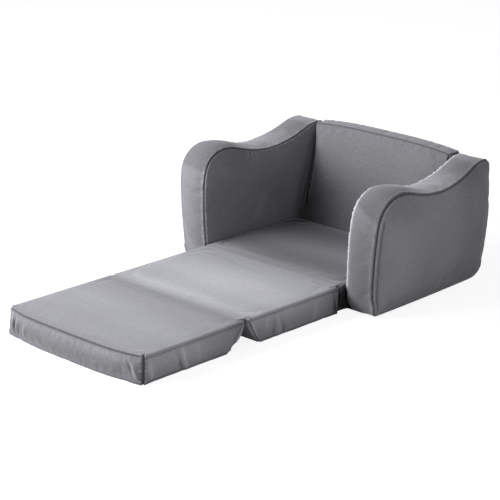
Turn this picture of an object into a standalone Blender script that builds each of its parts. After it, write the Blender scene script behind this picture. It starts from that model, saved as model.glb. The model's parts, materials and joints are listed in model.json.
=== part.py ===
"""A child's flip open sofa: foam cushions in velvet covers, with two of them hinged to the seat.

The sofa's body is a pair of shaped arms, a reclined backrest and a fixed seat section on one base
cloth. The middle section is hinged to the seat, and the end section to the middle section, both
along their top edges. The rest pose is the photographed one, flipped open on the floor.

The origin is on the floor under the middle of the body. +X is to the right as seen from the front,
+Y to the back and +Z up. All lengths are in metres.
"""

import math

import bmesh
import bpy
from mathutils import Matrix, Vector

for old in list(bpy.data.objects):
    bpy.data.objects.remove(old, do_unlink=True)

# Driving dimensions
mattress_width = 0.500
pad_thickness = 0.0725
seat_length = 0.372
middle_length = 0.346
end_length = 0.3465
arm_depth = 0.484
arm_height = 0.340
arm_thickness = 0.104
back_height = 0.335
back_top_thickness = 0.046

# Clearances and cloth
touch_gap = 0.0004
fold_gap = 0.0003
arm_clearance = 0.0012
base_thickness = 0.0012
pad_wall = 0.005
arm_wall = 0.009
back_wall = 0.007
foam_gap = 0.0006

# Cushion shape
pad_crown = 0.004
side_draw_in = 0.003
front_bow = 0.021
front_crown = 0.008
arm_seam_setback = 0.012
corner_ease_share = 1.6

# Fold lines: the first lies just in front of the arms, both just above the crowns
fold_overhang = 0.013
fold_height = pad_thickness + pad_crown + fold_gap
seat_fold_y = -(arm_depth / 2 + fold_overhang)
end_fold_y = seat_fold_y - middle_length
middle_notch_angle = math.radians(31)
end_notch_angle = math.radians(41)

# Places that several pieces share
body_bottom = base_thickness + touch_gap
arm_front_y = -arm_depth / 2
half_mattress = mattress_width / 2
arm_inner_x = half_mattress + arm_clearance

parts = bpy.data.collections.new("kids_flip_open_sofa")
bpy.context.scene.collection.children.link(parts)
cutters = bpy.data.collections.new("zip_slot_cutters")
bpy.context.scene.collection.children.link(cutters)


def finish(name, colour, roughness, metallic=0.0):
    """A material with its own colour, roughness and metallic value."""
    material = bpy.data.materials.new(name)
    material.use_nodes = True
    shader = material.node_tree.nodes["Principled BSDF"]
    shader.inputs["Base Color"].default_value = (*colour, 1)
    shader.inputs["Roughness"].default_value = roughness
    shader.inputs["Metallic"].default_value = metallic
    return material


def velvet(name):
    return finish(name + "_velvet", (0.22, 0.22, 0.24), 0.85)


def foam(name):
    return finish(name + "_foam", (0.86, 0.83, 0.70), 0.95)


def add_part(name, mesh, material, place=Matrix.Identity(4), pivot=None):
    """Puts a mesh in the parts' collection, with its origin on its fold line where it has one."""
    origin = Vector(pivot or (0, 0, 0))
    mesh.transform(Matrix.Translation(-origin) @ place)
    part = bpy.data.objects.new(name, mesh)
    part.location = origin
    mesh.materials.append(material)
    parts.objects.link(part)
    return part


def divided_cube(cells):
    """A unit cube primitive whose edges are cut into cells along X, Y and Z."""
    cage = bmesh.new()
    bmesh.ops.create_cube(cage, size=1, matrix=Matrix.Translation((0.5, 0.5, 0.5)))
    for axis, count in enumerate(cells):
        along = [e for e in cage.edges if abs(e.verts[0].co[axis] - e.verts[1].co[axis]) > 0.5]
        if count > 1:
            bmesh.ops.subdivide_edges(cage, edges=along, cuts=count - 1, use_grid_fill=True)
    return cage


def cushion_mesh(name, cells, place, crease, inset=0.0, crowned=True):
    """A cushion's cage: the divided cube with each of its points put where place says.

    place takes a point's three counts, whether the faces are crowned, and how far in from the
    cushion's surface the point lies, which makes the hollow and the foam core. The inset grows
    along the edges that the soft form rounds off.
    """
    cage = divided_cube(cells)
    edge_crease = cage.edges.layers.float.new("crease_edge")
    counts = {}
    for point in cage.verts:
        counts[point] = tuple(round(point.co[axis] * cells[axis]) for axis in range(3))
    for edge in cage.edges:
        shared = face_ends(counts[edge.verts[0]], cells) & face_ends(counts[edge.verts[1]], cells)
        if len(shared) == 2:
            edge[edge_crease] = crease(shared)
    for point, count in counts.items():
        ends = face_ends(count, cells)
        ease = 1 - crease(ends) if len(ends) > 1 else 0
        point.co = place(count, crowned, inset * (1 + corner_ease_share * ease))
    if inset:
        bmesh.ops.triangulate(cage, faces=cage.faces, quad_method="FIXED")
    if cage.calc_volume(signed=True) < 0:
        bmesh.ops.reverse_faces(cage, faces=cage.faces)
    mesh = bpy.data.meshes.new(name)
    cage.to_mesh(mesh)
    cage.free()
    mesh.shade_smooth()
    return mesh


def face_ends(count, cells):
    """The faces that a point lies on: pairs of an axis and whether it is the far face there."""
    return {(axis, count[axis] > 0) for axis in range(3) if count[axis] in (0, cells[axis])}


def add_subdivision(part):
    smooth = part.modifiers.new("soft form", "SUBSURF")
    smooth.levels = 1
    smooth.render_levels = 1


def add_cut(part, cutter):
    cut = part.modifiers.new("cut " + cutter.name, "BOOLEAN")
    cut.operation = "DIFFERENCE"
    cut.solver = "EXACT"
    cut.object = cutter


def add_cutter(name, mesh, place=Matrix.Identity(4)):
    mesh.transform(place)
    cutter = bpy.data.objects.new(name, mesh)
    cutter.hide_render = True
    cutter.display_type = "WIRE"
    cutters.objects.link(cutter)
    return cutter


def box_mesh(name, size):
    """A box primitive of this size, centred on its origin."""
    box = bmesh.new()
    bmesh.ops.create_cube(box, size=1, matrix=Matrix.Diagonal((*size, 1)))
    mesh = bpy.data.meshes.new(name)
    box.to_mesh(mesh)
    box.free()
    return mesh


# Zips: a tape that closes the slot through which the foam goes in, and its slider in the same recess
zip_width = 0.0084
zip_thickness = 0.001
zip_depth = 0.0022
zip_edge_gap = 0.0003
slider_width = 0.006
slider_length = 0.020
slider_thickness = 0.0014
slot_overrun = 0.004
tab_width_share = 0.5
slider_head_share = 0.45


def zip_frame(centre, along, outward):
    """The placing of a zip: its X runs along the zip and its Z out of the cover."""
    x_axis = Vector(along).normalized()
    z_axis = Vector(outward).normalized()
    y_axis = z_axis.cross(x_axis)
    turn = Matrix((x_axis, y_axis, z_axis)).transposed().to_4x4()
    return Matrix.Translation(Vector(centre)) @ turn


def slider_mesh(name):
    """The slider's head and its narrower pull tab, as one flat outline."""
    head = slider_length * slider_head_share
    half_head = slider_width / 2
    half_tab = half_head * tab_width_share
    outline = [
        (0, -half_head),
        (head, -half_head),
        (head, -half_tab),
        (slider_length, -half_tab),
        (slider_length, half_tab),
        (head, half_tab),
        (head, half_head),
        (0, half_head),
    ]
    flat = bmesh.new()
    face = flat.faces.new([flat.verts.new((x, y, 0)) for x, y in outline])
    grown = bmesh.ops.extrude_face_region(flat, geom=[face])
    top = [item for item in grown["geom"] if isinstance(item, bmesh.types.BMVert)]
    bmesh.ops.translate(flat, verts=top, vec=(0, 0, slider_thickness))
    bmesh.ops.recalc_face_normals(flat, faces=flat.faces)
    mesh = bpy.data.meshes.new(name)
    flat.to_mesh(mesh)
    flat.free()
    return mesh


def add_zip(name, cover, wall, length, centre, along, outward, pivot=None):
    """Cuts the slot in the cover's wall and sets the zip's tape and slider in it."""
    place = zip_frame(centre, along, outward)
    slot_depth = wall + slot_overrun
    slot_size = (length, zip_width, slot_depth + slot_overrun)
    slot_place = place @ Matrix.Translation((0, 0, (slot_overrun - slot_depth) / 2))
    add_cut(cover, add_cutter(name + "_slot", box_mesh(name + "_slot", slot_size), slot_place))
    tape_size = (length - 2 * zip_edge_gap, zip_width - 2 * zip_edge_gap, zip_thickness)
    tape_place = place @ Matrix.Translation((0, 0, -(zip_depth + zip_thickness / 2)))
    tape = finish(name + "_zip_tape", (0.10, 0.10, 0.11), 0.8)
    add_part(name + "_zip", box_mesh(name + "_zip", tape_size), tape, tape_place, pivot)
    metal = finish(name + "_zip_metal", (0.45, 0.45, 0.47), 0.35, 1.0)
    rise = touch_gap - zip_depth
    slider_place = place @ Matrix.Translation((slider_width - length / 2, 0, rise))
    add_part(name + "_slider", slider_mesh(name + "_slider"), metal, slider_place, pivot)


def add_cushion(name, cells, place, crease, wall, pivot=None):
    """A cushion: the crowned velvet cover, hollowed for its foam, and the cut foam core inside."""
    cover = add_part(
        name + "_cover", cushion_mesh(name + "_cover", cells, place, crease), velvet(name), pivot=pivot
    )
    add_subdivision(cover)
    hollow = cushion_mesh(name + "_hollow", cells, place, crease, wall, crowned=False)
    add_cut(cover, add_cutter(name + "_hollow", hollow))
    core = cushion_mesh(name + "_foam", cells, place, crease, wall + foam_gap, crowned=False)
    add_part(name + "_foam", core, foam(name), pivot=pivot)
    return cover


def pillow(share):
    """How far a crowned face has risen at a share of its width: nothing at the edges."""
    return 1 - (2 * share - 1) ** 4


def blend(first, last, share):
    return first + (last - first) * share


# Mattress pads: where the counts along a pad's width, length and height lie
width_shares = (0, 0.12, 0.5, 0.88, 1)
length_shares = (0, 0.12, 0.5, 0.88, 1)
height_shares = (0, 0.5, 1)
pad_cells = (len(width_shares) - 1, len(length_shares) - 1, len(height_shares) - 1)
seam_crease_share = 0.85
corner_crease_share = 0.6
lower_crease_share = 0.4


def pad_crease(ends):
    """A pad's top seam is sharp, its upright corners less so and its lower edges round."""
    if (2, True) in ends:
        return seam_crease_share
    if (2, False) in ends:
        return lower_crease_share
    return corner_crease_share


def pad_place(half_width, front, back, bottom, bow=0.0, front_swell=0.0):
    """Where a pad's points lie. front and back give each end's Y at a height.

    The whole front can bow forwards between its corners, and swell further below the top seam.
    """

    def place(count, crowned, inset):
        across = width_shares[count[0]]
        along = length_shares[count[1]]
        up = height_shares[count[2]]
        z = blend(bottom + inset, pad_thickness - inset, up)
        y = blend(front(z) + inset - bow * pillow(across), back(z) - inset, along)
        x = blend(inset - half_width, half_width - inset, across)
        if not crowned or count[2] in (0, pad_cells[2]):
            x *= 1 - side_draw_in * pillow(along) / half_width
        if crowned and count[2] == pad_cells[2]:
            z += pad_crown * pillow(across) * pillow(along)
        if crowned and count[1] == 0 and up < 1:
            y -= front_swell * pillow(across)
        return Vector((x, y, z))

    return place


def upright(y):
    """An end face that stands at one Y."""
    return lambda z: y


def slanted(y, angle):
    """An end face that leans away from a fold line at y, so that the pads can bend there."""
    return lambda z: y + (fold_height - z) * math.tan(angle)


# Seat section, fixed between the arms
seat_half_width = half_mattress + arm_clearance - touch_gap
seat_front_y = seat_fold_y + touch_gap
seat_back_y = seat_fold_y + seat_length
seat_zip_length = 0.40
seat_place = pad_place(seat_half_width, upright(seat_front_y), upright(seat_back_y), body_bottom)
seat_cover = add_cushion("seat", pad_cells, seat_place, pad_crease, pad_wall)
seat_zip_centre = (0, seat_back_y, (body_bottom + pad_thickness) / 2)
add_zip("seat", seat_cover, pad_wall, seat_zip_length, seat_zip_centre, (1, 0, 0), (0, 1, 0))

# Middle section, which flips over onto the seat about the first fold line
seat_fold = (0, seat_fold_y, fold_height)
middle_zip_length = 0.36
middle_back_y = seat_fold_y - touch_gap
middle_front = slanted(end_fold_y + fold_gap, middle_notch_angle)
middle_place = pad_place(half_mattress, middle_front, upright(middle_back_y), 0)
middle_cover = add_cushion("middle", pad_cells, middle_place, pad_crease, pad_wall, seat_fold)
middle_zip_z = pad_thickness / 2
middle_zip_centre = (0, middle_front(middle_zip_z), middle_zip_z)
middle_outward = (0, -math.cos(middle_notch_angle), -math.sin(middle_notch_angle))
add_zip(
    "middle",
    middle_cover,
    pad_wall,
    middle_zip_length,
    middle_zip_centre,
    (1, 0, 0),
    middle_outward,
    seat_fold,
)

# End section, which bends towards its underside about the second fold line
end_fold = (0, end_fold_y, fold_height)
end_zip_length = 0.36
end_front_y = end_fold_y - end_length
end_back = slanted(end_fold_y - fold_gap, -end_notch_angle)
end_place = pad_place(half_mattress, upright(end_front_y), end_back, 0, front_bow, front_crown)
end_cover = add_cushion("end", pad_cells, end_place, pad_crease, pad_wall, end_fold)
end_zip_z = pad_thickness / 2
end_zip_centre = (0, end_back(end_zip_z), end_zip_z)
end_outward = (0, math.cos(end_notch_angle), -math.sin(end_notch_angle))
add_zip("end", end_cover, pad_wall, end_zip_length, end_zip_centre, (1, 0, 0), end_outward, end_fold)

# Fabric hinges: each is two halves, one on each pad, that meet on the fold line
hinge_reach = 0.018
hinge_width = 0.470
hinge_seat_rise = 0.0008
hinge_bottom = pad_thickness + hinge_seat_rise
hinge_top = fold_height - fold_gap / 2
hinge_thickness = hinge_top - hinge_bottom


def add_hinge_half(name, fold_y, side, angle, pivot=None):
    """Half a fabric hinge. Its edge at the fold line leans by the angle of the pad's own end."""
    strip = bmesh.new()
    size = Matrix.Diagonal((hinge_width, hinge_reach, hinge_thickness, 1))
    middle_y = fold_y + side * (fold_gap + hinge_reach / 2)
    middle_z = (hinge_bottom + hinge_top) / 2
    bmesh.ops.create_cube(strip, size=1, matrix=Matrix.Translation((0, middle_y, middle_z)) @ size)
    for point in strip.verts:
        at_fold = (point.co.y - middle_y) * side < 0
        if at_fold and point.co.z < middle_z:
            point.co.y += side * hinge_thickness * math.tan(angle)
    mesh = bpy.data.meshes.new(name)
    strip.to_mesh(mesh)
    strip.free()
    add_part(name, mesh, velvet(name), pivot=pivot)


add_hinge_half("seat_hinge_rear", seat_fold_y, 1, 0)
add_hinge_half("seat_hinge_front", seat_fold_y, -1, 0, seat_fold)
add_hinge_half("end_hinge_rear", end_fold_y, 1, middle_notch_angle, seat_fold)
add_hinge_half("end_hinge_front", end_fold_y, -1, end_notch_angle, end_fold)

# Arms: the side outline, as shares of the arm's depth from its front and of its height
arm_top_shares = (
    (0.047, 0.859),
    (0.110, 0.926),
    (0.190, 0.961),
    (0.283, 0.938),
    (0.386, 0.893),
    (0.520, 0.872),
    (0.676, 0.897),
    (0.810, 0.957),
    (0.900, 1),
    (1, 1),
)
arm_front_shares = ((0.035, 0), (0.004, 0.15), (0, 0.45), (0.004, 0.73), (0.047, 0.859))
arm_back_shares = ((0.91, 0), (0.98, 0.14), (1, 0.40), (1, 0.72), (1, 1))
arm_bottom_shares = (0.035, 0.12, 0.20, 0.29, 0.39, 0.52, 0.66, 0.77, 0.85, 0.91)
arm_level_shares = (0, 0.15, 0.45, 0.75, 1)
arm_cells = (2, len(arm_top_shares) - 1, len(arm_level_shares) - 1)
inner_lean_share = 0.05
outer_lean_share = 0.08
outer_toe_in = 0.018
inner_tuck = 0.030
inner_tuck_height = 0.070
outer_tuck = 0.022
outer_tuck_height = 0.060
arm_seam_crease_share = 0.75
arm_lower_crease_share = 0.3


def arm_outline(along, level, inset):
    """A point of the arm's side, filled in smoothly between its four outline curves."""
    across = (arm_bottom_shares[along] - arm_bottom_shares[0]) / (
        arm_bottom_shares[-1] - arm_bottom_shares[0]
    )
    up = arm_level_shares[level]
    low = Vector((arm_bottom_shares[along], 0))
    high = Vector(arm_top_shares[along])
    fore = Vector(arm_front_shares[level])
    rear = Vector(arm_back_shares[level])
    corners = Vector(arm_front_shares[0]).lerp(Vector(arm_back_shares[0]), across)
    corners = corners.lerp(Vector(arm_front_shares[-1]).lerp(Vector(arm_back_shares[-1]), across), up)
    share = low.lerp(high, up) + fore.lerp(rear, across) - corners
    y = arm_front_y + arm_depth * share.x + blend(inset, -inset, across)
    z = body_bottom + (arm_height - body_bottom) * share.y + blend(inset, -inset, up)
    return y, z


def tucked(amount, height, z):
    """How far a side is tucked under towards the floor."""
    return amount * max(0, 1 - z / height) ** 2


def arm_outer_x(y, z):
    """The fullest X of an arm's outer side, which leans outwards and toes in towards the back."""
    back_share = (y - arm_front_y) / arm_depth
    return arm_inner_x + arm_thickness + outer_lean_share * z - outer_toe_in * back_share**2


def arm_place(side):
    """Where an arm's points lie: splayed outwards, with padded sides set proud of their seams."""

    def place(count, crowned, inset):
        across, along, level = count
        y, z = arm_outline(along, level, inset)
        inner = arm_inner_x + inner_lean_share * max(0, z - pad_thickness)
        outer = arm_outer_x(y, z)
        inner_seam = inner + arm_seam_setback + tucked(inner_tuck, inner_tuck_height, z)
        outer_seam = outer - arm_seam_setback - tucked(outer_tuck, outer_tuck_height, z)
        on_panel = 0 < along < arm_cells[1] and 0 < level < arm_cells[2]
        if not (crowned and on_panel):
            inner = inner_seam
            outer = outer_seam
        x = blend(inner + inset, outer - inset, across / arm_cells[0])
        return Vector((side * x, y, z))

    return place


def arm_crease(ends):
    """An arm's seams run round its two sides. Its top turns down sharply at the back only."""
    if (2, False) in ends:
        return arm_lower_crease_share
    if (1, True) in ends and (2, True) in ends:
        return arm_seam_crease_share
    return arm_seam_crease_share if (0, False) in ends or (0, True) in ends else 0


# Each arm's zip stands in the back of its band
arm_zip_length = 0.16
arm_zip_share = 0.56


def add_arm(name, side):
    place = arm_place(side)
    cover = add_cushion(name, arm_cells, place, arm_crease, arm_wall)
    z = arm_height * arm_zip_share
    inner = arm_inner_x + inner_lean_share * (z - pad_thickness)
    outer = arm_outer_x(arm_front_y + arm_depth, z)
    centre = (side * (inner + outer) / 2, arm_front_y + arm_depth, z)
    add_zip(name, cover, arm_wall, arm_zip_length, centre, (0, 0, 1), (0, 1, 0))


add_arm("left_arm", -1)
add_arm("right_arm", 1)

# Backrest: upright behind the seat section, then reclined, with an arched top
back_lean = math.radians(16.4)
back_arch = 0.023
back_crown = 0.006
back_flare = 0.010
back_rear_lean = math.radians(1.7)
back_level_shares = (0, 0.45, 0.85, 1)
back_cells = (len(width_shares) - 1, 2, len(back_level_shares))
back_seam_crease_share = 0.7
back_zip_length = 0.40
back_zip_share = 0.30
back_front_y = seat_back_y + touch_gap
back_top_front_y = back_front_y + (back_height - pad_thickness) * math.tan(back_lean)


def back_place(count, crowned, inset):
    """Where the backrest's points lie."""
    across = width_shares[count[0]]
    reclined = back_level_shares[count[2] - 1] if count[2] else 0
    z = blend(pad_thickness, back_height - inset, reclined) if count[2] else body_bottom + inset
    front = back_front_y + inset + max(0, z - pad_thickness) * math.tan(back_lean)
    y = blend(front, back_rear_y(z) - inset, count[1] / back_cells[1])
    if crowned and count[1] == 0:
        y -= back_crown * pillow(across) * pillow(reclined)
    z += back_arch * (1 - (2 * across - 1) ** 2) * z / back_height
    half_width = half_mattress + back_flare * (z / back_height) ** 2 - inset
    return Vector((blend(-half_width, half_width, across), y, z))


def back_rear_y(z):
    """The Y of the backrest's rear face, which is nearly upright."""
    return back_top_front_y + back_top_thickness + (back_height - z) * math.tan(back_rear_lean)


def back_crease(ends):
    return lower_crease_share if (2, False) in ends else back_seam_crease_share


backrest_cover = add_cushion("backrest", back_cells, back_place, back_crease, back_wall)
back_zip_z = back_height * back_zip_share
back_outward = (0, math.cos(back_rear_lean), math.sin(back_rear_lean))
back_zip_centre = (0, back_rear_y(back_zip_z), back_zip_z)
add_zip("backrest", backrest_cover, back_wall, back_zip_length, back_zip_centre, (1, 0, 0), back_outward)

# Base cloth, sewn under the arms, the seat section and the backrest
base_margin = 0.022
base_corner_radius = 0.030
base_corner_segments = 4
base_front_margin = 0.030
base_back_margin = 0.050
base_half_width = arm_inner_x + arm_thickness - arm_seam_setback - base_margin
base_front_y = arm_front_y + base_front_margin
base_back_y = arm_front_y + arm_depth - base_back_margin


def add_base_cloth():
    cloth = bmesh.new()
    middle_y = (base_front_y + base_back_y) / 2
    size = Matrix.Diagonal((2 * base_half_width, base_back_y - base_front_y, base_thickness, 1))
    centre = Matrix.Translation((0, middle_y, base_thickness / 2))
    bmesh.ops.create_cube(cloth, size=1, matrix=centre @ size)
    corners = [e for e in cloth.edges if abs(e.verts[0].co.z - e.verts[1].co.z) > base_thickness / 2]
    bmesh.ops.bevel(
        cloth,
        geom=corners,
        offset=base_corner_radius,
        segments=base_corner_segments,
        profile=0.5,
        affect="EDGES",
    )
    mesh = bpy.data.meshes.new("base_cloth")
    cloth.to_mesh(mesh)
    cloth.free()
    add_part("base_cloth", mesh, finish("base_non_slip", (0.05, 0.05, 0.055), 0.9))


add_base_cloth()
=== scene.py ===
"""A child's flip open sofa: six foam cushions in grey velvet covers, flipped open on the floor.

The arms, the backrest and the seat section stand on one base cloth. The middle and end sections
hang on fabric hinges, and each cover closes with a zip. Lengths are in metres.
"""

import json
import math

import bmesh
import bpy
import numpy as np
from mathutils import Matrix, Vector
from mathutils.bvhtree import BVHTree


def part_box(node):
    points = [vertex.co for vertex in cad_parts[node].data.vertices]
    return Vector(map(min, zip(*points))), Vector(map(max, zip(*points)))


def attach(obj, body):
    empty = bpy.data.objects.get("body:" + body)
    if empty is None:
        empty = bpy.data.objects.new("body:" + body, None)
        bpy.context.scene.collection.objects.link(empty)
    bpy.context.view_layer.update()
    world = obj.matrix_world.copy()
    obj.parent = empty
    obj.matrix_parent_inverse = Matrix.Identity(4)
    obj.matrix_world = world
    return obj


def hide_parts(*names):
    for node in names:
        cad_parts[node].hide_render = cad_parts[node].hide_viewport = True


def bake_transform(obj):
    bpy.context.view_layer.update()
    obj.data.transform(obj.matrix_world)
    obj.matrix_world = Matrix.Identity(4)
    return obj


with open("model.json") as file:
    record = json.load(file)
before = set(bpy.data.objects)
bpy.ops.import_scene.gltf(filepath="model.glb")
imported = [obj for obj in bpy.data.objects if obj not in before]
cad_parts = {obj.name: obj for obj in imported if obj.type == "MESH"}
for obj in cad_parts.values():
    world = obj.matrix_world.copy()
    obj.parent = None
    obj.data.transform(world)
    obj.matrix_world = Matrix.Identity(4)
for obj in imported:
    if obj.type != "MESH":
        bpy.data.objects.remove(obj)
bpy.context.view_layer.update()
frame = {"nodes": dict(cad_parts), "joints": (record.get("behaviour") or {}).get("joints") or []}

scene = bpy.context.scene

# Camera: the photograph is taken from the front right and a little above, with a long lens. The
# values were fitted to the straight edges of the mattress, the seat section and the arms.
camera_lens = 136.4
camera_distance = 5.475
camera_azimuth = math.radians(44.37)
camera_elevation = math.radians(18.30)
camera_target = Vector((-0.285, -0.041, 0))
camera = bpy.data.objects.new("camera", bpy.data.cameras.new("camera"))
camera.data.lens = camera_lens
camera.data.sensor_width = 36
camera_back = Vector(
    (
        math.sin(camera_azimuth) * math.cos(camera_elevation),
        -math.cos(camera_azimuth) * math.cos(camera_elevation),
        math.sin(camera_elevation),
    )
)
camera.location = camera_target + camera_distance * camera_back
camera.rotation_euler = camera_back.to_track_quat("Z", "Y").to_euler()
scene.collection.objects.link(camera)
scene.camera = camera

# Mattress pads: the seat, middle and end sections are slabs of foam in boxed velvet covers. Each has
# a top panel, a band round its sides and a bottom panel, sewn together and turned, so that the cloth
# gathers at the seams and at the upright corners. The pads meet in a notch under the second fold.
seat_fold = Vector(frame["joints"][0]["pos_m"])
end_fold = Vector(frame["joints"][1]["pos_m"])
seat_low, seat_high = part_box("seat_cover")
pad_thickness = 0.0725
pad_half_width = 0.250
end_length = 0.3465
fold_gap = 0.0006
skin = 0.0014
cloth_cell = 0.005
plain_pad = {"bottom": 0.0, "front_cut": 0.0, "back_cut": 0.0, "bow": 0.0, "corner": 0.004}
plain_pad.update({"ear": 0.0, "tuck": 0.0, "widest": 0.2520})
pads = {
    "seat": {
        **plain_pad,
        "body": "sofa_body",
        "front": seat_fold.y + fold_gap,
        "back": seat_high.y,
        "bottom": seat_low.z,
        "tuck": 0.009,
        "widest": 0.2511,
    },
    "middle": {
        **plain_pad,
        "body": "middle_section",
        "front": end_fold.y + fold_gap,
        "back": seat_fold.y - fold_gap,
        "front_cut": 0.0445,
    },
    "end": {
        **plain_pad,
        "body": "end_section",
        "front": end_fold.y - end_length,
        "back": end_fold.y - fold_gap,
        "back_cut": 0.0650,
        "bow": 0.021,
        "corner": 0.013,
        "ear": 0.75,
    },
}


def points_of(mesh):
    flat = np.empty(len(mesh.vertices) * 3)
    mesh.vertices.foreach_get("co", flat)
    return flat.reshape(-1, 3)


def place_points(mesh, points):
    mesh.vertices.foreach_set("co", np.ascontiguousarray(points, dtype=np.float32).ravel())
    mesh.update()


def normals_of(mesh):
    flat = np.empty(len(mesh.vertices) * 3, np.float32)
    mesh.vertex_normals.foreach_get("vector", flat)
    return flat.reshape(-1, 3).astype(float)


def keep(mesh, name, values):
    """Writes a number or a vector for each point of a mesh, for its material or a later step."""
    kind = "FLOAT" if values.ndim == 1 else "FLOAT_VECTOR"
    held = mesh.attributes.get(name) or mesh.attributes.new(name, kind, "POINT")
    field = "value" if values.ndim == 1 else "vector"
    held.data.foreach_set(field, np.ascontiguousarray(values, dtype=np.float32).ravel())


def kept(mesh, name):
    flat = np.empty(len(mesh.vertices) * 3, np.float32)
    mesh.attributes[name].data.foreach_get("vector", flat)
    return flat.reshape(-1, 3).astype(float)


def settle(piece):
    """Turns a piece's live modifiers into its plain mesh."""
    graph = bpy.context.evaluated_depsgraph_get()
    mesh = bpy.data.meshes.new_from_object(piece.evaluated_get(graph))
    piece.modifiers.clear()
    piece.data = mesh


def link_mesh(name, cage):
    """Turns a cage into a piece of the scene."""
    mesh = bpy.data.meshes.new(name)
    cage.to_mesh(mesh)
    cage.free()
    piece = bpy.data.objects.new(name, mesh)
    scene.collection.objects.link(piece)
    return piece


def even_cells(form, size):
    """Gives a closed form a live modifier that makes it of even square cells."""
    cells = form.modifiers.new("even cells", "REMESH")
    cells.mode = "VOXEL"
    cells.voxel_size = size


swelling_frames = 20


def swell(form, held, pressure, spare, most):
    """Fills a cover with air against what is held. No point moves further than the most."""
    start = points_of(form.data)
    seams = form.vertex_groups.new(name="seams")
    seams.add([int(index) for index in np.nonzero(held)[0]], 1.0, "REPLACE")
    cover = form.modifiers.new("cover", "CLOTH")
    cover.settings.quality = 4
    cover.settings.mass = 0.3
    cover.settings.tension_stiffness = 12
    cover.settings.compression_stiffness = 12
    cover.settings.shear_stiffness = 5
    cover.settings.bending_stiffness = 0.6
    cover.settings.vertex_group_mass = seams.name
    cover.settings.use_pressure = True
    cover.settings.uniform_pressure_force = pressure
    cover.settings.shrink_min = -spare
    cover.settings.effector_weights.gravity = 0
    for number in range(swelling_frames):
        scene.frame_set(number + 1)
    settle(form)
    scene.frame_set(1)
    form.vertex_groups.clear()
    moved = points_of(form.data) - start
    reach = np.maximum(np.linalg.norm(moved, axis=1, keepdims=True), 1e-9)
    place_points(form.data, start + moved * most * np.tanh(reach / most) / reach)


gather_lengths = (0.0056, 0.0083, 0.0131, 0.0311)


def waves(along, seed):
    """The uneven gathers along a seam: between -1 and 1, from a few unlike waves."""
    total = np.zeros_like(along)
    for number, length in enumerate(gather_lengths):
        total += np.sin(2 * math.pi * along / length + seed * (number + 1) * 2.4)
    return total / len(gather_lengths)


def bump(distance, reach):
    return np.exp(-((distance / reach) ** 2))


def from_corner(first, second, round_off=0.003):
    """The distance from the rounded corner between two faces, from the distances to both faces."""
    first = np.maximum(first, 0)
    second = np.maximum(second, 0)
    return np.abs(first - second) + np.maximum(0, np.minimum(first, second) - round_off)


# What a seam does to the cloth beside it, and the strength of the painted shade in its groove and of the
# painted highlight and shade on gathers and wrinkles
gather_reach = 0.0080
gather_per_painted_light = 0.0010
wrinkle_per_painted_light = 0.0020
dark_depth = 0.0026
dark_width = 0.0027


def sew(form, seams, wrinkles, seed):
    """Presses the seams into a cover, with the gathers beside them, and adds its loose wrinkles.

    A seam is the distance to it, the place along it, and its depth, width and gathers. Its groove gets
    painted shade, darker the deeper it is, kept as the seam value of each point. Gives back the painted
    highlight and shade of the gathers and wrinkles: lighter where the cloth rises, darker where it sinks.
    """
    mesh = form.data
    points = points_of(mesh)
    normals = normals_of(mesh)
    rise = np.zeros(len(points))
    shade = np.zeros(len(points))
    fold_painted_shading = np.zeros(len(points))
    for number, (distance, along, depth, width, gather) in enumerate(seams):
        uneven = waves(along, seed + number)
        rise -= depth * (1 + 0.25 * uneven) * bump(distance, width)
        rise += 0.35 * depth * bump(distance - 2.4 * width, 1.1 * width)
        edge = np.exp(-distance / gather_reach) * (1 - bump(distance, 0.7 * width))
        rise += gather * uneven * edge
        # Painted highlight where a gather rises, painted shade where it sinks
        fold_painted_shading += 0.6 * gather / gather_per_painted_light * uneven * edge
        # Painted shade in the seam's groove, darker the deeper it is
        dark = np.minimum(1, depth / dark_depth) * (0.85 + 0.15 * uneven)
        dark_reach = np.maximum(dark_width, 2.6 * (depth - dark_depth))
        shade = np.maximum(shade, bump(distance, dark_reach) * dark)
    for start, end, width, height in wrinkles:
        first = np.array(start)
        run = np.array(end) - first
        share = np.clip((points - first) @ run / (run @ run), 0, 1)
        away = np.linalg.norm(points - first - share[:, None] * run, axis=1)
        fold = bump(away, width) * np.sin(math.pi * np.clip(share, 0.02, 0.98)) ** 0.5
        rise += height * fold
        # Painted highlight on a raised wrinkle, painted shade in a sunken one
        fold_painted_shading += height / wrinkle_per_painted_light * fold
    place_points(mesh, points + normals * rise[:, None])
    keep(mesh, "seam", shade)
    return fold_painted_shading


def paint_light_and_shade(form, patches, extra=0):
    """Paints light (above 0) and shade (below 0) into a cover's colour as soft patches by place and reach,
    added to the extra that is given.
    """
    points = points_of(form.data)
    nap = np.zeros(len(points)) + extra
    for centre, reach, amount in patches:
        nap += amount * np.exp(-(((points - np.array(centre)) / np.array(reach)) ** 2).sum(axis=1))
    keep(form.data, "nap", nap)


def refine(form):
    """Doubles the cells of a form, smoothly."""
    finer = form.modifiers.new("finer cells", "SUBSURF")
    finer.levels = 1
    finer.render_levels = 1
    settle(form)
    form.data.shade_smooth()


def refine_beside(form, near):
    """Divides the cells beside the seams once more, so that the grooves come out sharp."""
    cells = bmesh.new()
    cells.from_mesh(form.data)
    edges = [edge for edge in cells.edges if near[edge.verts[0].index] and near[edge.verts[1].index]]
    bmesh.ops.subdivide_edges(cells, edges=edges, cuts=1, use_grid_fill=True)
    cells.to_mesh(form.data)
    cells.free()
    form.data.shade_smooth()


def soft_floor(values, limit, give):
    """Values that come down to a limit ease towards it within the give, and never pass it."""
    eased = limit + give * np.exp(np.minimum(0, (values - limit - give) / give))
    return np.where(values < limit + give, eased, values)


def soft_ceiling(values, limit, give):
    return -soft_floor(-values, -limit, give)


def node_of(tree, kind, **inputs):
    """Adds a node and sets its inputs: a value, or another node's output socket."""
    node = tree.nodes.new(kind)
    for name, value in inputs.items():
        socket = node.inputs[name.replace("_", " ")]
        if isinstance(value, bpy.types.NodeSocket):
            tree.links.new(value, socket)
        else:
            socket.default_value = value
    return node


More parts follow.
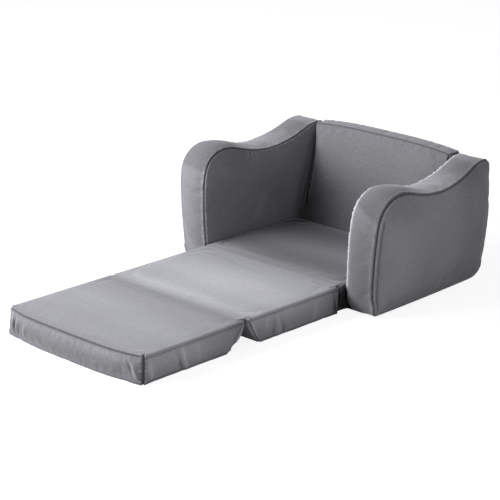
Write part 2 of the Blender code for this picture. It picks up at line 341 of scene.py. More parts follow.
def mixed(tree, blend, amount, first, second):
    """A colour mix of two colours or sockets."""
    mix = tree.nodes.new("ShaderNodeMix")
    mix.data_type = "RGBA"
    mix.blend_type = blend
    for socket, value in ((mix.inputs[0], amount), (mix.inputs[6], first), (mix.inputs[7], second)):
        if isinstance(value, bpy.types.NodeSocket):
            tree.links.new(value, socket)
        else:
            socket.default_value = value
    return mix.outputs[2]


def new_finish(name):
    """A new material, with its nodes, its shader and the place of each point on the piece."""
    material = bpy.data.materials.new(name)
    material.use_nodes = True
    tree = material.node_tree
    place = tree.nodes.new("ShaderNodeTexCoord").outputs["Object"]
    return material, tree, tree.nodes["Principled BSDF"], place


def noise(tree, place, scale, detail, roughness=0.5):
    node = node_of(
        tree, "ShaderNodeTexNoise", Vector=place, Scale=scale, Detail=detail, Roughness=roughness
    )
    return node.outputs["Fac"]


def ranged(tree, value, low, high, first=0.0, last=1.0):
    """Carries a value that runs from first to last over to the range from low to high."""
    node = node_of(
        tree, "ShaderNodeMapRange", Value=value, From_Min=first, From_Max=last, To_Min=low, To_Max=high
    )
    return node.outputs[0]


def read_back(tree, name):
    """What an earlier step kept on the points of a cover."""
    node = tree.nodes.new("ShaderNodeAttribute")
    node.attribute_name = name
    return node.outputs["Fac"]


velvet_colour = (0.205, 0.206, 0.222)
seam_shade_colour = (0.022, 0.022, 0.026, 1)
seam_shade_strength = 0.93


def velvet(name, tone, nap_turn):
    """Short-pile grey velvet: a soft sheen, brushed patches and a fine pile, with the light and shade
    painted on the cover's points and painted shade in its seam grooves.
    """
    material, tree, shader, place = new_finish(name)
    brushed = node_of(tree, "ShaderNodeMapping", Vector=place, Rotation=nap_turn, Scale=(2.2, 11, 11))
    streaks = node_of(tree, "ShaderNodeMapping", Vector=place, Rotation=nap_turn, Scale=(60, 700, 700))
    patches = noise(tree, brushed.outputs[0], 1.0, 3.0, 0.55)
    base = tuple(tone * part for part in velvet_colour)
    light = tuple(min(1, 1.18 * part) for part in base) + (1,)
    dark = tuple(0.83 * part for part in base) + (1,)
    colour = mixed(tree, "MIX", patches, dark, light)
    clouds = ranged(tree, noise(tree, place, 7.0, 2.0), 0.90, 1.10)
    pile = ranged(tree, noise(tree, streaks.outputs[0], 1.0, 2.0), 0.90, 1.10, 0.3, 0.7)
    crushed = ranged(tree, noise(tree, place, 210.0, 3.0, 0.6), 0.89, 1.11, 0.3, 0.7)
    # The light and shade painted on the cover's points scale the colour: painted shadow, highlight and sheen
    painted_shading_factor = ranged(tree, read_back(tree, "nap"), 0.05, 3.28, -2.5, 6.0)
    for layer in (clouds, pile, crushed, painted_shading_factor):
        colour = mixed(tree, "MULTIPLY", 1.0, colour, layer)
    # Painted shade in the seam grooves, darkening the colour towards near black
    sewn = ranged(tree, read_back(tree, "seam"), 0.0, seam_shade_strength)
    colour = mixed(tree, "MIX", sewn, colour, seam_shade_colour)
    tree.links.new(colour, shader.inputs["Base Color"])
    tree.links.new(ranged(tree, patches, 0.74, 0.96), shader.inputs["Roughness"])
    shader.inputs["Specular IOR Level"].default_value = 0.15
    shader.inputs["Sheen Weight"].default_value = 0.45
    shader.inputs["Sheen Roughness"].default_value = 0.42
    shader.inputs["Sheen Tint"].default_value = (0.86, 0.87, 0.93, 1)
    grain = noise(tree, place, 620.0, 1.0)
    fuzz = node_of(tree, "ShaderNodeBump", Strength=0.22, Distance=0.0006, Height=grain)
    tree.links.new(fuzz.outputs[0], shader.inputs["Normal"])
    return material


def rounded_block(low, high, corners, edges):
    """A block whose upright corners and whose level edges are rounded off."""
    cage = bmesh.new()
    size = Vector(high) - Vector(low)
    middle = (Vector(high) + Vector(low)) / 2
    bmesh.ops.create_cube(cage, size=1, matrix=Matrix.Translation(middle) @ Matrix.Diagonal((*size, 1)))
    upright = [e for e in cage.edges if abs(e.verts[0].co.z - e.verts[1].co.z) > size.z / 2]
    bmesh.ops.bevel(cage, geom=upright, offset=corners, segments=4, profile=0.5, affect="EDGES")
    level = [
        e
        for e in cage.edges
        if abs(e.verts[0].co.z - e.verts[1].co.z) < 1e-6
        and sum(abs(f.normal.z) > 0.9 for f in e.link_faces) == 1
    ]
    bmesh.ops.bevel(cage, geom=level, offset=edges, segments=2, profile=0.5, affect="EDGES")
    return cage


def pillow(share):
    """The rise of a crowned panel across a share from 0 to 1: nothing at its edges."""
    return 1 - np.clip(np.abs(2 * share - 1), 0, 1) ** 4


def smooth_step(value, first, last):
    share = np.clip((value - first) / (last - first), 0, 1)
    return share * share * (3 - 2 * share)


# The ear is the fuller outer corner of a notch wall, and the foot the fuller lower front corner
ear_start = 0.226
ear_end = 0.244
foot_start = 0.190
foot_end = 0.248
foot_drop = 0.007
foot_spread_share = 0.018
side_bulge = 0.0015
top_crown = 0.0012


def wrap_pad(flat, pad):
    """Shapes a flat-sided block into a pad: crowned, bowed at the front and cut at its notch."""
    x, y, z = flat.T
    across = x / (2 * pad_half_width) + 0.5
    along = (y - pad["front"]) / (pad["back"] - pad["front"])
    height_share = np.clip(z / pad_thickness, 0, 1)
    low = np.clip(1 - z / pad_thickness, 0, 1)
    ear = smooth_step(np.abs(x), ear_start, ear_end)
    below_fold = np.clip(1 - z / seat_fold.z, 0, 1)
    cut = below_fold + (low ** (1 + pad["ear"]) - below_fold) * ear
    y = y + (1 - along) * pad["front_cut"] * cut - along * pad["back_cut"] * cut
    bowed = 1 + 0.4 * np.sin(math.pi * low) + 0.25 * low
    y = y - (1 - along) * pad["bow"] * pillow(across) * bowed
    bulge = side_bulge * pillow(along) * np.sin(math.pi * height_share)
    tuck = pad["tuck"] * (1 - smooth_step(along, 0.02, 0.20)) * low
    x = x * (1 + (bulge - tuck) / pad_half_width)
    crown = top_crown * pillow(across) * pillow(along) * height_share
    in_foot = smooth_step(np.abs(x), foot_start, foot_end) * (pad["bow"] > 0)
    foot = in_foot * smooth_step(1 - along, 0.90, 1.0)
    y = y - foot_drop * low * foot
    x = x * (1 + foot_spread_share * low * foot)
    return np.stack((x, y, z + crown + pad["bottom"] * low), axis=1)


top_seam_front_drop = 0.0020
top_seam_side_drop = 0.0065
bottom_seam_height = 0.0040


def pad_seams(flat, pad):
    """Distances to the seams of a pad: round its top, round its bottom and up its corners."""
    x, y, z = flat.T
    from_side = pad_half_width + skin - np.abs(x)
    from_end = np.minimum(y - pad["front"], pad["back"] - y)
    edge = np.maximum(np.minimum(from_side, from_end), 0)
    along = x + y
    at_front = np.where(pad["bow"] > 0, y - pad["front"], 1.0)
    drop = np.where(at_front < from_side, top_seam_front_drop, top_seam_side_drop)
    top = np.abs(z - pad_thickness + drop) + edge
    bottom = np.abs(z - bottom_seam_height) + edge
    corner = from_corner(from_side, from_end, 0.003 + 0.3 * pad["corner"])
    at_front = bump(at_front, 0.010)
    bowed = pad["bow"] > 0
    return (
        (top, along, 0.0013 + 0.0027 * at_front, 0.0022, 0.0004 + 0.0008 * at_front),
        (bottom, along, 0.0012, 0.0022, 0.0006),
        (corner, z, 0.0022 + 0.0020 * bowed, 0.0030, 0.0010 + 0.0026 * bowed),
    )


# Over the three pads, light and shade are painted into the velvet: lightest on the middle section and
# darkest at the back of the seat, in the shade of the arms and the backrest, with painted shade on the end's
# front, in the notch and in the gap beside the near arm, and painted light on the end's lit side. A patch is
# its centre, its reach and how light it is. Each cover has loose folds where its cloth is too long. A
# wrinkle is its two ends, its width and its height.
mattress_painted_shading = (
    ((-0.08, 0.06, 0.07), (0.42, 0.17, 0.20), -2.32),
    ((0.00, -0.17, 0.07), (0.60, 0.075, 0.20), -1.65),
    ((0.00, -0.45, 0.07), (0.45, 0.14, 0.04), 2.10),
    ((0.00, -0.572, 0.07), (0.45, 0.027, 0.03), 0.90),
    ((0.00, -0.628, 0.07), (0.45, 0.029, 0.03), -0.95),
    ((0.00, -0.80, 0.07), (0.40, 0.14, 0.04), 0.65),
    ((0.20, -0.93, 0.07), (0.12, 0.05, 0.04), 0.30),
    ((0.00, -0.970, 0.030), (0.50, 0.034, 0.034), -1.10),
    ((-0.22, -0.960, 0.030), (0.08, 0.030, 0.034), -0.85),
    ((0.25, -0.820, 0.035), (0.014, 0.150, 0.035), 1.15),
    ((0.25, -0.420, 0.035), (0.014, 0.140, 0.035), 0.10),
    ((0.25, -0.232, 0.02), (0.012, 0.045, 0.050), -3.60),
    ((0.25, -0.600, 0.02), (0.03, 0.030, 0.05), -0.80),
    ((0.238, -0.578, 0.030), (0.016, 0.016, 0.030), 1.60),
    ((0.25, -0.960, 0.03), (0.016, 0.016, 0.05), -1.40),
)
pad_wrinkles = {
    "seat": [
        ((-0.20, -0.225, 0.074), (0.02, -0.232, 0.074), 0.0070, 0.0010),
        ((-0.16, -0.205, 0.074), (0.06, -0.200, 0.074), 0.0080, -0.0008),
    ],
    "middle": [
        ((0.250, -0.526, 0.064), (0.250, -0.529, 0.020), 0.0045, 0.0036),
        ((0.250, -0.486, 0.052), (0.250, -0.481, 0.004), 0.0045, 0.0044),
        ((0.250, -0.470, 0.044), (0.250, -0.466, 0.004), 0.0040, -0.0058),
        ((0.250, -0.500, 0.050), (0.250, -0.506, 0.008), 0.0045, -0.0054),
        ((0.250, -0.268, 0.060), (0.250, -0.264, 0.012), 0.0034, 0.0032),
        ((0.250, -0.276, 0.056), (0.250, -0.272, 0.010), 0.0034, -0.0026),
        ((0.250, -0.290, 0.050), (0.250, -0.284, 0.006), 0.0040, 0.0022),
        ((0.250, -0.595, 0.062), (0.250, -0.574, 0.014), 0.0032, 0.0032),
        ((0.250, -0.589, 0.060), (0.250, -0.567, 0.012), 0.0030, -0.0036),
        ((0.250, -0.583, 0.057), (0.250, -0.560, 0.010), 0.0032, 0.0026),
        ((0.238, -0.596, 0.062), (0.242, -0.566, 0.008), 0.0040, 0.0036),
        ((0.229, -0.594, 0.058), (0.231, -0.566, 0.008), 0.0036, -0.0030),
        ((0.219, -0.592, 0.054), (0.222, -0.568, 0.010), 0.0036, 0.0030),
        ((0.250, -0.345, 0.050), (0.250, -0.352, 0.010), 0.0070, 0.0018),
        ((-0.250, -0.480, 0.060), (-0.250, -0.474, 0.010), 0.0050, 0.0030),
        ((-0.250, -0.330, 0.060), (-0.250, -0.338, 0.010), 0.0050, 0.0030),
        ((-0.20, -0.300, 0.075), (0.04, -0.330, 0.075), 0.0080, -0.0010),
        ((0.14, -0.272, 0.075), (0.20, -0.300, 0.075), 0.0050, 0.0010),
        ((0.17, -0.268, 0.075), (0.225, -0.288, 0.075), 0.0045, -0.0010),
    ],
    "end": [
        ((0.250, -0.824, 0.064), (0.250, -0.806, 0.000), 0.0052, 0.0060),
        ((0.250, -0.838, 0.054), (0.250, -0.822, 0.002), 0.0050, -0.0052),
        ((0.250, -0.770, 0.056), (0.250, -0.764, 0.010), 0.0060, 0.0020),
        ((0.250, -0.611, 0.060), (0.250, -0.642, 0.020), 0.0034, 0.0036),
        ((0.250, -0.619, 0.058), (0.250, -0.650, 0.020), 0.0034, -0.0026),
        ((0.250, -0.930, 0.060), (0.250, -0.922, 0.008), 0.0050, 0.0030),
        ((0.222, -0.964, 0.050), (0.238, -0.958, 0.012), 0.0040, 0.0044),
        ((0.205, -0.970, 0.060), (0.226, -0.964, 0.030), 0.0040, -0.0030),
        ((-0.200, -0.968, 0.060), (-0.206, -0.974, 0.016), 0.0050, 0.0040),
        ((-0.224, -0.962, 0.062), (-0.230, -0.966, 0.012), 0.0040, 0.0036),
        ((-0.213, -0.966, 0.056), (-0.219, -0.970, 0.014), 0.0040, -0.0034),
        ((-0.165, -0.974, 0.056), (-0.170, -0.980, 0.024), 0.0060, 0.0024),
        ((-0.250, -0.760, 0.060), (-0.250, -0.752, 0.010), 0.0050, 0.0030),
    ],
}


def zip_place(name):
    """The placing of a zip in its cover: X along it and Z out of the cover, from the tape's shape."""
    points = points_of(frame["nodes"][name + "_zip"].data)
    middle = (points.min(0) + points.max(0)) / 2
    axes = np.linalg.svd(points - points.mean(0), full_matrices=False)[2]
    inside = sum(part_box(name + "_cover"), Vector()) / 2
    outward = Vector(axes[2])
    if outward.dot(Vector(middle) - inside) < 0:
        outward = -outward
    along = Vector(axes[0])
    if along.x + along.z < 0:
        along = -along
    length = np.ptp((points - middle) @ np.array(along))
    turn = Matrix((along, outward.cross(along), outward)).transposed().to_4x4()
    return Matrix.Translation(Vector(middle)) @ turn, length


zip_slot_half_width = 0.0042
zip_slot_shoulder = 0.0078
zip_slot_depth = 0.0012
zip_lip_place = 0.0085
zip_lip_width = 0.0028
zip_lip_height = 0.0010
zip_slot_reach = 0.030


def open_for_zip(form, name):
    """Draws the cover in along its zip, so that the tape lies in a shallow slot."""
    place, length = zip_place(name)
    points = points_of(form.data)
    back = np.array(place.inverted())
    local = points @ back[:3, :3].T + back[:3, 3]
    near = np.abs(local[:, 2]) < zip_slot_reach
    lengthwise = 1 - smooth_step(np.abs(local[:, 0]), length / 2 - 0.001, length / 2 + 0.004)
    sideways = 1 - smooth_step(np.abs(local[:, 1]), zip_slot_half_width, zip_slot_shoulder)
    share = lengthwise * sideways * near
    lips = lengthwise * bump(np.abs(local[:, 1]) - zip_lip_place, zip_lip_width) * near
    out = np.array(place.to_3x3() @ Vector((0, 0, 1)))
    depth = local[:, 2] + zip_slot_depth
    move = -share * np.maximum(depth, 0) + zip_lip_height * lips
    place_points(form.data, points + move[:, None] * out)


def dress(form, name, body, material):
    """Gives a finished cover its material and its place among the cushions."""
    form.data.materials.clear()
    form.data.materials.append(material)
    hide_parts(name + "_cover")
    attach(form, body)


covers = {}
seam_grip = 0.0045
groove_reach = 0.0085
side_ease = 0.001


def nearest_seam(seams):
    return np.min([seam[0] for seam in seams], axis=0)


def make_cover(name, cage, wrap, seams_of, held, air, wrinkles, seed, mirrored=False):
    """Wraps a flat-sided block into a cover, fills it with air against what is held, and sews it.

    Gives back the cover, and the painted highlight and shade of its gathers and wrinkles.
    """
    cover = link_mesh(name + "_velvet_cover", cage)
    even_cells(cover, cloth_cell)
    settle(cover)
    flat = points_of(cover.data)
    keep(cover.data, "pattern", flat)
    place_points(cover.data, wrap(flat))
    if mirrored:
        cover.data.flip_normals()
    swell(cover, (nearest_seam(seams_of(flat)) < seam_grip) | held(flat), *air)
    refine(cover)
    refine_beside(cover, nearest_seam(seams_of(kept(cover.data, "pattern"))) < groove_reach)
    fold_painted_shading = sew(cover, seams_of(kept(cover.data, "pattern")), wrinkles, seed)
    covers[name] = cover
    return cover, fold_painted_shading


def within(values, widest):
    """Eases values that come up to the widest on either side."""
    return soft_floor(soft_ceiling(values, widest, side_ease), -widest, side_ease)


held_strip_height = 0.006
held_strip_width = 0.018
held_notch_reach = 0.004


def pad_held(flat, pad):
    """Where a pad doesn't swell: in a strip along its top edge and at the walls of its notch."""
    from_end = np.minimum(flat[:, 1] - pad["front"], pad["back"] - flat[:, 1])
    from_edge = np.minimum(pad_half_width + skin - np.abs(flat[:, 0]), from_end)
    top_edge = (flat[:, 2] > pad_thickness - held_strip_height) & (from_edge < held_strip_width)
    return top_edge | (np.abs(flat[:, 1] - end_fold.y) < held_notch_reach)


pad_air = (1.2, 0.010, 0.003)
pad_clearance = 0.0003
pad_edge_rounding = 0.003
# The pads and hinge strips take a lighter copy of the velvet, as painted light
pad_painted_light_tone = 1.15
for number, (name, pad) in enumerate(pads.items()):
    low = (-pad_half_width - skin, pad["front"], -skin)
    high = (pad_half_width + skin, pad["back"], pad_thickness + skin)
    cover, fold_painted_shading = make_cover(
        name,
        rounded_block(low, high, pad["corner"], pad_edge_rounding),
        lambda flat: wrap_pad(flat, pad),
        lambda flat: pad_seams(flat, pad),
        lambda flat: pad_held(flat, pad),
        pad_air,
        pad_wrinkles[name],
        number,
    )
    paint_light_and_shade(cover, mattress_painted_shading, fold_painted_shading)
    open_for_zip(cover, name)
    shaped = points_of(cover.data)
    shaped[:, 0] = within(shaped[:, 0], pad["widest"])
    shaped[:, 1] = np.minimum(shaped[:, 1], pad["back"] + pad_clearance)
    if name != "end":
        shaped[:, 1] = np.maximum(shaped[:, 1], pad["front"] - pad_clearance)
    shaped[:, 2] = soft_ceiling(shaped[:, 2], seat_fold.z - pad_clearance, 0.0040)
    shaped[:, 2] = soft_floor(shaped[:, 2], pad["bottom"], 0.0006)
    place_points(cover.data, shaped)
    dress(cover, name, pad["body"], velvet(name + "_velvet", pad_painted_light_tone, (0, 0, math.pi / 2)))

# Arms: each is a shaped foam board in a velvet cover, with a long band round its edge and a padded
# panel on each side. The side outline rises to a crest, dips and rises to the level of the backrest.
# The cover is sewn inside out and turned, so its seams lie in a groove between two soft rolls.
arm_front = -0.242
arm_depth = 0.484
arm_height = 0.340
arm_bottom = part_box("left_arm_cover")[0].z
band_width = 0.090
# The outline is written as shares of the depth and the height, first up the front and over the top
arm_rise_shares = (
    (0.092, 0.000),
    (0.052, 0.008),
    (0.026, 0.040),
    (0.010, 0.105),
    (0.003, 0.220),
    (0.000, 0.360),
    (0.000, 0.500),
    (0.003, 0.620),
    (0.009, 0.715),
    (0.022, 0.800),
    (0.045, 0.866),
    (0.080, 0.914),
    (0.122, 0.946),
    (0.170, 0.960),
    (0.215, 0.960),
    (0.265, 0.946),
    (0.320, 0.924),
    (0.380, 0.903),
    (0.440, 0.888),
    (0.510, 0.879),
    (0.580, 0.880),
    (0.650, 0.892),
    (0.715, 0.910),
    (0.780, 0.937),
    (0.840, 0.970),
    (0.885, 0.995),
    (0.920, 1.003),
    (0.970, 1.003),
)
# and then down the back to the floor
arm_fall_shares = (
    (0.970, 1.003),
    (0.992, 0.990),
    (1.003, 0.952),
    (1.006, 0.860),
    (1.006, 0.700),
    (1.006, 0.500),
    (1.003, 0.360),
    (0.997, 0.230),
    (0.982, 0.130),
    (0.956, 0.050),
    (0.920, 0.008),
    (0.870, 0.000),
)


def smooth_run(shares, steps):
    """A smooth line through the points of an outline, as real Y and Z."""
    held = [shares[0], *shares, shares[-1]]
    line = []
    for before, first, last, after in zip(held, held[1:], held[2:], held[3:]):
        for step in range(steps):
            t = step / steps
            ahead = (-t + 2 * t**2 - t**3, 2 - 5 * t**2 + 3 * t**3, t + 4 * t**2 - 3 * t**3, t**3 - t**2)
            y, z = (sum(w * p[i] for w, p in zip(ahead, (before, first, last, after))) / 2 for i in (0, 1))
            line.append((arm_front + arm_depth * y, arm_bottom + (arm_height - arm_bottom) * z))
    return line


arm_outline = np.array(smooth_run(arm_rise_shares, 5) + smooth_run(arm_fall_shares, 5))


def from_outline(places, above=-1.0):
    """The distance of each Y and Z from the outline above a height, the place along it and the way out."""
    ends = np.roll(arm_outline, -1, axis=0)
    lengths = np.linalg.norm(ends - arm_outline, axis=1)
    before = np.concatenate(([0], np.cumsum(lengths)))
    best = np.full(len(places), 1e9)
    along = np.zeros(len(places))
    out = np.zeros((len(places), 2))
    for start, end, length, first in zip(arm_outline, ends, lengths, before):
        if length < 1e-6 or max(start[1], end[1]) < above:
            continue
        run = end - start
        share = np.clip((places - start) @ run / length**2, 0, 1)
        away = np.linalg.norm(places - start - share[:, None] * run, axis=1)
        near = away < best
        best[near] = away[near]
        along[near] = (first + share * length)[near]
        out[near] = (-run[1] / length, run[0] / length)
    return best, along, out


def arm_block():
    """The arm's outline as a flat-sided block, as wide as its band."""
    cage = bmesh.new()
    sides = []
    for x in (0, band_width):
        ring = [cage.verts.new((x, y, z)) for y, z in arm_outline]
        sides.append(cage.faces.new(ring))
    bmesh.ops.bridge_loops(cage, edges=[edge for side in sides for edge in side.edges])
    bmesh.ops.recalc_face_normals(cage, faces=cage.faces)
    return cage


def tucked(amount, height, z):
    return amount * np.clip(1 - z / height, 0, 1) ** 2


arm_inner_foot = 0.2615
arm_outer_foot = 0.3470
band_roll = 0.006
crest_rise = 0.005


def wrap_arm(flat, side):
    """Splays the arm outwards, crowns its band and pads its two panels down to the floor."""
    x, y, z = flat.T
    distance, _, out = from_outline(flat[:, 1:])
    across = np.clip(x / band_width, 0, 1)
    share = (y - arm_front) / arm_depth
    rise_share = np.clip(z / arm_height, 0, 1)
    lean = np.maximum(0, z - pad_thickness)
    inner = arm_inner_foot + 0.040 * lean * (1 - share) - 0.006 * share + tucked(0.020, 0.070, z)
    outer = arm_outer_foot + 0.075 * z - 0.016 * share**2 - tucked(0.014, 0.050, z)
    outer = outer + 0.004 * smooth_step(share, 0.5, 1.0) * np.sin(math.pi * rise_share)
    outer = outer - 0.009 * smooth_step(share, 0.55, 1.0) * smooth_step(z, 0.18, 0.33)
    inwards = from_outline(flat[:, 1:], above=0.06)[0]
    inner_padding = 0.0075 * (1 - np.exp(-((inwards / 0.032) ** 1.3)))
    outer_padding = 0.0100 * (1 - np.exp(-((inwards / 0.016) ** 1.2)))
    middle = 2 * across - 1
    wide = inner + (outer - inner) * across
    wide = wide + np.where(middle < 0, -inner_padding, outer_padding) * smooth_step(np.abs(middle), 0.4, 1)
    crest = band_roll + crest_rise * (1 - smooth_step(share, 0.26, 0.46))
    crest = crest * smooth_step(z, 0.02, 0.10) * (1 - smooth_step(share, 0.84, 0.92))
    rise = crest * (1 - middle**2) * bump(distance, band_roll)
    # The way out is on the left of the outline's run, because the run goes up the front and over
    return np.stack((side * wide, y + rise * out[:, 0], z + rise * out[:, 1]), axis=1)


def arm_seams(flat, side):
    """The two seams of an arm's band, and the soft crease beside the outer one."""
    distance, along, _ = from_outline(flat[:, 1:])
    on_panel = 0.003 if side > 0 else 0.0
    x = np.clip(flat[:, 0], 0, band_width)
    outer_x = band_width - x
    upright = 1 - smooth_step(flat[:, 1], arm_front + 0.020, arm_front + 0.030)
    upright = upright * (1 - smooth_step(flat[:, 2], 0.270, 0.290))
    # The crease beside the outer seam is pressed in and gets painted shade like a seam
    crease = np.abs(distance - 0.0125) + outer_x + 0.02 * (1 - upright)
    return (
        (from_corner(x + on_panel, distance), along, 0.0026, 0.0022, 0.0018),
        (from_corner(outer_x, distance), along, 0.0036, 0.0026, 0.0006),
        (crease, along, 0.0016, 0.0030, 0.0002),
    )


# The wrinkles of the left arm are those of the right arm, mirrored
arm_wrinkles = (
    ((0.265, 0.190, 0.318), (0.256, 0.113, 0.080), 0.0100, -0.0090),
    ((0.264, -0.0715, 0.307), (0.262, -0.067, 0.286), 0.0032, 0.0018),
    ((0.264, -0.0640, 0.305), (0.262, -0.060, 0.280), 0.0030, -0.0014),
    ((0.264, -0.0550, 0.303), (0.262, -0.050, 0.266), 0.0032, 0.0022),
    ((0.264, -0.0480, 0.302), (0.262, -0.044, 0.272), 0.0030, -0.0016),
    ((0.264, -0.0425, 0.301), (0.262, -0.037, 0.272), 0.0032, 0.0020),
    ((0.266, 0.100, 0.315), (0.262, 0.150, 0.285), 0.0060, 0.0014),
    ((0.266, 0.120, 0.330), (0.262, 0.175, 0.300), 0.0060, 0.0014),
    ((0.266, -0.195, 0.300), (0.262, -0.160, 0.250), 0.0120, 0.0008),
    ((0.254, 0.060, 0.085), (0.256, 0.078, 0.118), 0.0050, 0.0024),
    ((0.254, 0.084, 0.084), (0.256, 0.094, 0.112), 0.0045, -0.0022),
    ((0.254, 0.034, 0.090), (0.258, 0.020, 0.150), 0.0100, 0.0016),
    ((0.256, -0.060, 0.100), (0.262, 0.010, 0.190), 0.0140, 0.0012),
    ((0.352, 0.150, 0.136), (0.350, 0.200, 0.150), 0.0070, 0.0014),
    ((0.366, -0.205, 0.262), (0.364, -0.190, 0.236), 0.0060, -0.0012),
    ((0.350, -0.200, 0.050), (0.356, -0.185, 0.110), 0.0080, 0.0006),
)
# Painted light and shade on the arms: lighter where light falls on the near arm's outer panel and on the
# tops, darker where they turn away from it, and painted shade at the near arm's foot beside the seat
arm_painted_shading = {
    "left_arm": [
        ((-0.27, 0.02, 0.10), (0.03, 0.30, 0.12), -0.20),
        ((-0.31, -0.24, 0.15), (0.06, 0.04, 0.14), 0.05),
        ((-0.31, 0.04, 0.31), (0.06, 0.06, 0.05), 0.45),
        ((-0.31, -0.19, 0.32), (0.06, 0.05, 0.05), 0.35),
        ((-0.31, 0.19, 0.33), (0.06, 0.09, 0.05), -0.35),
    ],
    "right_arm": [
        ((0.37, -0.08, 0.16), (0.03, 0.24, 0.16), 1.10),
        ((0.31, -0.24, 0.12), (0.05, 0.03, 0.16), -1.05),
        ((0.31, 0.01, 0.31), (0.06, 0.08, 0.05), 1.20),
        ((0.31, -0.17, 0.32), (0.06, 0.05, 0.05), 0.50),
        ((0.31, 0.14, 0.32), (0.06, 0.07, 0.05), -0.40),
        ((0.31, 0.23, 0.34), (0.06, 0.05, 0.05), -0.45),
        ((0.255, -0.235, 0.03), (0.014, 0.03, 0.05), -2.20),
    ],
}


def arm_band_painted_shading(flat, side):
    """Painted light and shade on an arm's band, where light falls on its flat top, its dip and its turn, and
    a thin painted highlight along its inner edge.
    """
    distance = from_outline(flat[:, 1:])[0]
    x, y, z = flat.T
    share = (y - arm_front) / arm_depth
    across = np.clip(x / band_width, 0, 1)
    on_band = smooth_step(x, -0.002, 0.004) * (1 - smooth_step(x, band_width - 0.004, band_width + 0.002))
    turned = 0.262 + 0.036 * (1 - across) if side > 0 else 0.2795 - 0.006 * (1 - across)
    turn = smooth_step(z, turned - 0.006, turned + 0.008) * (1 - smooth_step(share, 0.24, 0.40))
    flat_top = smooth_step(share, 0.866, 0.876) * smooth_step(z, 0.30, 0.32)
    dip = smooth_step(share, 0.30, 0.50) * (1 - smooth_step(share, 0.62, 0.80)) * smooth_step(z, 0.2, 0.28)
    # A thin painted highlight along the inner seam, for the sheen at the edge of the pile
    painted_edge_highlight = bump(x - 0.0015, 0.0060) * bump(distance, 0.006) * smooth_step(z, 0.06, 0.09)
    plateau = 0.62
    if side < 0:
        plateau = 0.90
        painted_edge_highlight = 0.25 * painted_edge_highlight * (1 - smooth_step(z, 0.275, 0.300))
    return on_band * (plateau * flat_top + 0.72 * dip - 0.68 * turn) + 7.0 * painted_edge_highlight


arm_air = (1.5, 0.008, 0.0035)
arm_clear_foot = 0.2522
arm_held_foot = 0.010


def add_arm(name, side, tone, seed):
    creases = []
    for start, end, width, height in arm_wrinkles:
        turned = [(side * x, y, z) for x, y, z in (start, end)]
        creases.append((*turned, width, height))
    form, fold_painted_shading = make_cover(
        name,
        arm_block(),
        lambda flat: wrap_arm(flat, side),
        lambda flat: arm_seams(flat, side),
        lambda flat: flat[:, 2] < arm_held_foot,
        arm_air,
        creases,
        seed,
        mirrored=side < 0,
    )
    paint_light_and_shade(form, arm_painted_shading[name], fold_painted_shading + arm_band_painted_shading(kept(form.data, "pattern"), side))
    open_for_zip(form, name)
    shaped = points_of(form.data)
    back_share = np.clip((shaped[:, 1] - arm_front) / arm_depth, 0, 1)
    innermost = arm_clear_foot + 0.030 * np.maximum(0, shaped[:, 2] - 0.085) * (1 - back_share)
    shaped[:, 0] = side * soft_floor(side * shaped[:, 0], innermost, 0.002)
    shaped[:, 2] = np.maximum(shaped[:, 2], arm_bottom)
    place_points(form.data, shaped)
    dress(form, name, "sofa_body", velvet(name + "_velvet", tone, (math.pi / 2, 0, 0)))


# The right arm takes a slightly darker copy of the velvet than the left, as painted shade
add_arm("left_arm", -1, 1.0, 11)
add_arm("right_arm", 1, 0.96, 17)

# Backrest: a foam wedge in a velvet cover, upright at the back and reclined at the front, with an
# arched top. It stands behind the seat section and between the arms, and is sewn to the base cloth.
back_height = 0.335
back_depth = 0.090
back_lean = math.radians(16.4)
back_front = seat_high.y + fold_gap
back_top_front = back_front + (back_height - pad_thickness) * math.tan(back_lean)
back_top_depth = 0.046
back_rear_slope_share = 0.0297
back_waist = 0.018
back_crown = 0.006
back_bulge = 0.003
arch_ends = 0.008
arch_middle = 0.011


def back_faces(z):
    """The Y of the backrest's front and rear faces, and its half width, at a height."""
    front = back_front + np.maximum(0, z - pad_thickness) * math.tan(back_lean)
    rear = back_top_front + back_top_depth + (back_height - z) * back_rear_slope_share
    height_share = np.clip((z - pad_thickness) / (back_height - pad_thickness), 0, 1)
    return front, rear, pad_half_width - back_waist * np.sin(math.pi * height_share) ** 0.8


def wrap_back(flat):
    x, y, z = flat.T
    front, rear, half = back_faces(z)
    depth_share = y / back_depth
    across = x / (2 * pad_half_width) + 0.5
    reclined = np.clip((z - pad_thickness) / (back_height - pad_thickness), 0, 1)
    crown = back_crown * pillow(across) * pillow(reclined) * (1 - depth_share)
    behind = back_bulge * pillow(across) * pillow(np.clip(z / back_height, 0, 1)) * depth_share
    arch = (arch_ends + arch_middle * (1 - np.abs(2 * across - 1) ** 3)) * z / back_height
    wide = x / pad_half_width * (half + (pad_half_width - half) * depth_share)
    return np.stack((wide, front + (rear - front) * depth_share - crown + behind, z + arch), axis=1)


def back_seams(flat):
    x, y, z = flat.T
    front, rear, _ = back_faces(z)
    deep = np.clip(y / back_depth, 0, 1) * (rear - front)
    edge = np.minimum(pad_half_width - np.abs(x), back_height - z)
    edge = np.maximum(edge, 0)
    corner = from_corner(pad_half_width - np.abs(x), back_height - z)
    return (
        (from_corner(deep, edge), x + z, 0.0022, 0.0026, 0.0009),
        (from_corner(rear - front - deep, edge), x + z, 0.0024, 0.0026, 0.0012),
        (corner, deep, 0.0016, 0.0030, 0.0010),
    )


